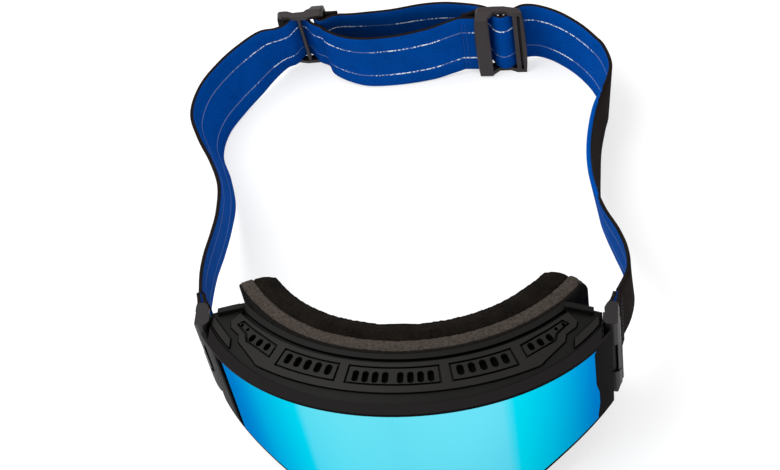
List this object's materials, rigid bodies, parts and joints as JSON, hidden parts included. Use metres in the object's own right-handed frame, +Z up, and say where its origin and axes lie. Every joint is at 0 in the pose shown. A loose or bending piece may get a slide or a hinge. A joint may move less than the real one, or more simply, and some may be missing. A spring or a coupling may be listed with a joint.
{
  "type": "snowboard goggles",
  "caption": "Snow goggles with a mirrored cylindrical lens, vented frame, layered face foam and an adjustable elastic strap.",
  "frame": {"origin": "bottom centre of the whole object's box at rest, on the floor that it stands on", "axes": "+X to the wearer's left, seen in the picture as right; +Y from the lens towards the back of the strap; +Z up"},
  "size_m": [0.2162, 0.269, 0.095],
  "materials": {
    "mirror_lens": "blue mirror coating on a polycarbonate lens",
    "inner_lens": "clear, lightly tinted",
    "gasket": "matte foam rubber",
    "gloss_rim": "polished",
    "magnet": "plain",
    "frame_black": "fine satin moulding",
    "vent_panel": "satin",
    "vent_foam": "open-cell foam",
    "base_foam": "open-cell foam",
    "grey_foam": "open-cell foam",
    "fleece": "brushed fleece",
    "clip_grey": "satin",
    "steel": "plain",
    "webbing": "woven elastic"
  },
  "bodies": {
    "goggle_frame": {"frame": "frame_black", "frame_magnets": "magnet", "vent_panel": "vent_panel", "top_vent_foam": "vent_foam", "bottom_vent_foam": "vent_foam", "left_end_plate": "vent_panel", "right_end_plate": "vent_panel", "face_frame": "frame_black", "base_foam": "base_foam", "mid_foam": "grey_foam", "face_fleece": "fleece", "left_hinge_pin": "steel", "right_hinge_pin": "steel", "left_strap": "webbing", "right_strap": "webbing"},
    "lens": {"outer_lens": "mirror_lens", "inner_lens": "inner_lens", "lens_gasket": "gasket", "lens_rim": "gloss_rim", "lens_magnets": "magnet"},
    "left_outrigger": {"left_outrigger": "clip_grey", "left_strap_tab": "webbing"},
    "right_outrigger": {"right_outrigger": "clip_grey", "right_strap_tab": "webbing"},
    "left_slider": {"left_slider": "clip_grey", "right_strap_end": "webbing"},
    "right_slider": {"right_slider": "clip_grey", "left_strap_end": "webbing"}
  },
  "joints": [
    {"name": "lens_pull", "type": "slide", "parent": "goggle_frame", "child": "lens", "axis": [0, -1, 0], "range_m": [0, 0.04]},
    {"name": "left_outrigger_swing", "type": "hinge", "parent": "goggle_frame", "child": "left_outrigger", "pos_m": [-0.07603, -0.07913, 0.049], "axis": [0, 0, 1], "range_deg": [0, 25], "deforming": ["left_strap"]},
    {"name": "right_outrigger_swing", "type": "hinge", "parent": "goggle_frame", "child": "right_outrigger", "pos_m": [0.09877, -0.07913, 0.049], "axis": [0, 0, -1], "range_deg": [0, 25], "deforming": ["right_strap"]},
    {"name": "left_slider_slide", "type": "slide", "parent": "goggle_frame", "child": "left_slider", "axis": [0.9976, 0.0698, 0], "range_m": [-0.015, 0.015], "deforming": ["left_strap", "right_strap"]},
    {"name": "right_slider_slide", "type": "slide", "parent": "goggle_frame", "child": "right_slider", "axis": [1, 0, 0], "range_m": [-0.015, 0.015], "deforming": ["right_strap", "left_strap"]}
  ]
}
